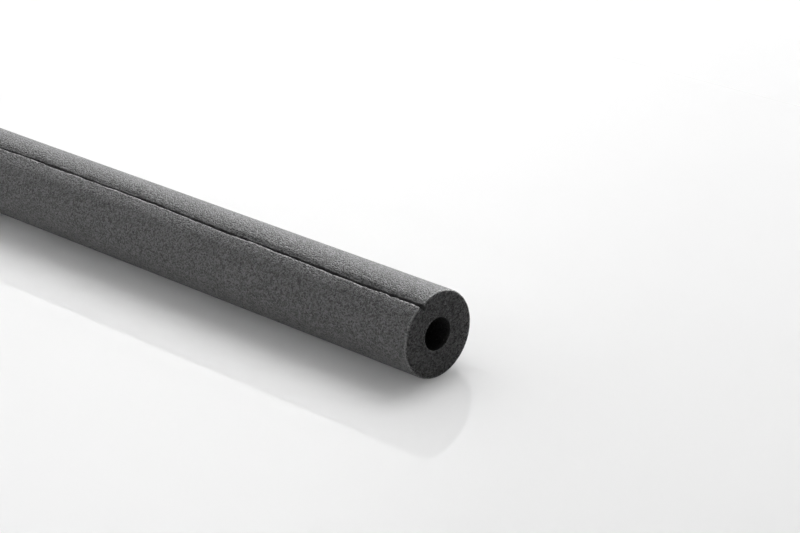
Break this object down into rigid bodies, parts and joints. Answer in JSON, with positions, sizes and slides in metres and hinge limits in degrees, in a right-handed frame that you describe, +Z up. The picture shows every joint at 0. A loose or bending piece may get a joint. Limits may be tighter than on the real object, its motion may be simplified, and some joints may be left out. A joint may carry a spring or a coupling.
{
  "type": "pipe insulation lagging",
  "caption": "Straight length of dark grey foam pipe lagging: a thick-walled round tube with an open bore and a lengthwise slit in its wall.",
  "frame": {"origin": "on the floor, on the tube's axis, at the end that it stands on", "axes": "+Z up the tube to the end that shows in the picture; the slit is on the -Y side, 26 degrees round towards +X"},
  "size_m": [0.042, 0.042, 1],
  "materials": {
    "grey_foam": "matt closed-cell polyethylene foam, finely pebbled skin, open cells on the cut ends"
  },
  "bodies": {
    "root": {"foam_tube": "grey_foam"}
  },
  "joints": []
}
